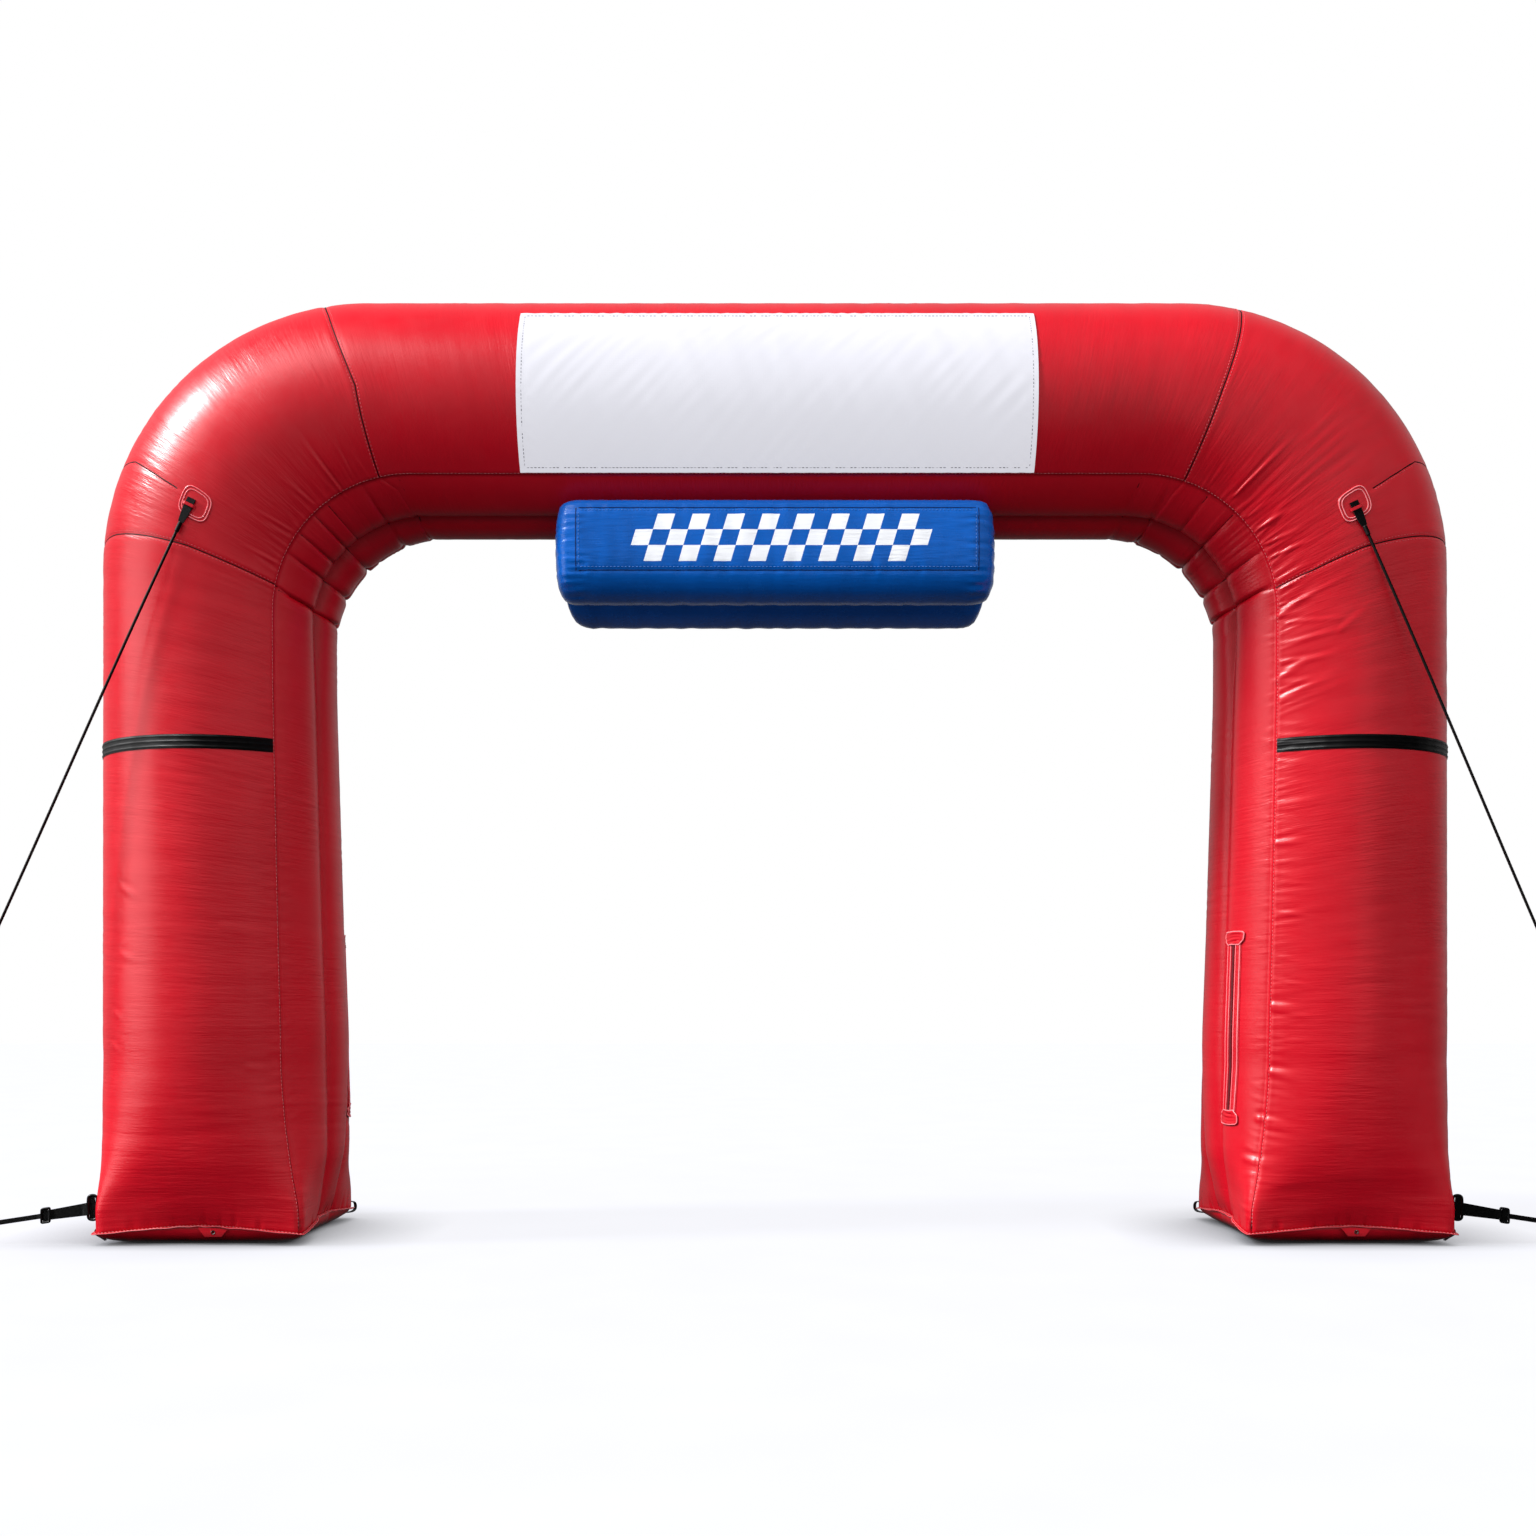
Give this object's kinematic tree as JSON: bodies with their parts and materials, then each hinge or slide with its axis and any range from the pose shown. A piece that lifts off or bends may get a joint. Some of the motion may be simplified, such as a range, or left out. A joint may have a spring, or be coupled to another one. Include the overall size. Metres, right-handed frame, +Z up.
{
  "type": "inflatable arch",
  "caption": "Air-filled event arch: round red tube on square bases, white banner panel, blue hanging pillow, leg bands, guy ropes and ground anchor straps.",
  "frame": {"origin": "on the ground, midway between the two legs and midway through the arch's depth", "axes": "+X to the right across the arch, -Y out of the front with the banner and the guy lines, +Z up"},
  "size_m": [7.0688, 1.1044, 4.3028],
  "materials": {
    "red_coated_fabric": "glossy coated",
    "blue_coated_fabric": "glossy coated",
    "white_banner_cloth": "satin",
    "black_webbing": "woven matt",
    "black_rope": "braided matt",
    "black_plastic": "moulded satin",
    "steel_eyelet": "pressed, bright"
  },
  "bodies": {
    "root": {"anchor_buckle_left": "black_plastic", "anchor_buckle_right": "black_plastic", "anchor_end_loop_left": "black_webbing", "anchor_end_loop_right": "black_webbing", "anchor_strap_left": "black_webbing", "anchor_strap_right": "black_webbing", "anchor_webbing_left": "black_webbing", "anchor_webbing_right": "black_webbing", "arch_tube": "red_coated_fabric", "banner_panel": "white_banner_cloth", "base_eyelet_left": "steel_eyelet", "base_eyelet_right": "steel_eyelet", "base_ring_left": "black_plastic", "base_ring_right": "black_plastic", "corner_strap_left": "black_webbing", "corner_strap_right": "black_webbing", "deflation_zip_left": "red_coated_fabric", "deflation_zip_right": "red_coated_fabric", "eyelet_tab_left": "red_coated_fabric", "eyelet_tab_right": "red_coated_fabric", "guy_end_loop_left": "black_rope", "guy_end_loop_right": "black_rope", "guy_end_sleeve_left": "black_rope", "guy_end_sleeve_right": "black_rope", "guy_loop_left": "red_coated_fabric", "guy_loop_right": "red_coated_fabric", "guy_patch_left": "red_coated_fabric", "guy_patch_right": "red_coated_fabric", "guy_rope_left": "black_rope", "guy_rope_right": "black_rope", "guy_sleeve_left": "black_rope", "guy_sleeve_right": "black_rope", "guy_webbing_left": "black_webbing", "guy_webbing_right": "black_webbing", "leg_band_left": "black_webbing", "leg_band_right": "black_webbing", "rear_loop_left": "black_webbing", "rear_loop_right": "black_webbing", "ring_tab_left": "black_webbing", "ring_tab_right": "black_webbing", "sign_pillow": "blue_coated_fabric"}
  },
  "joints": []
}
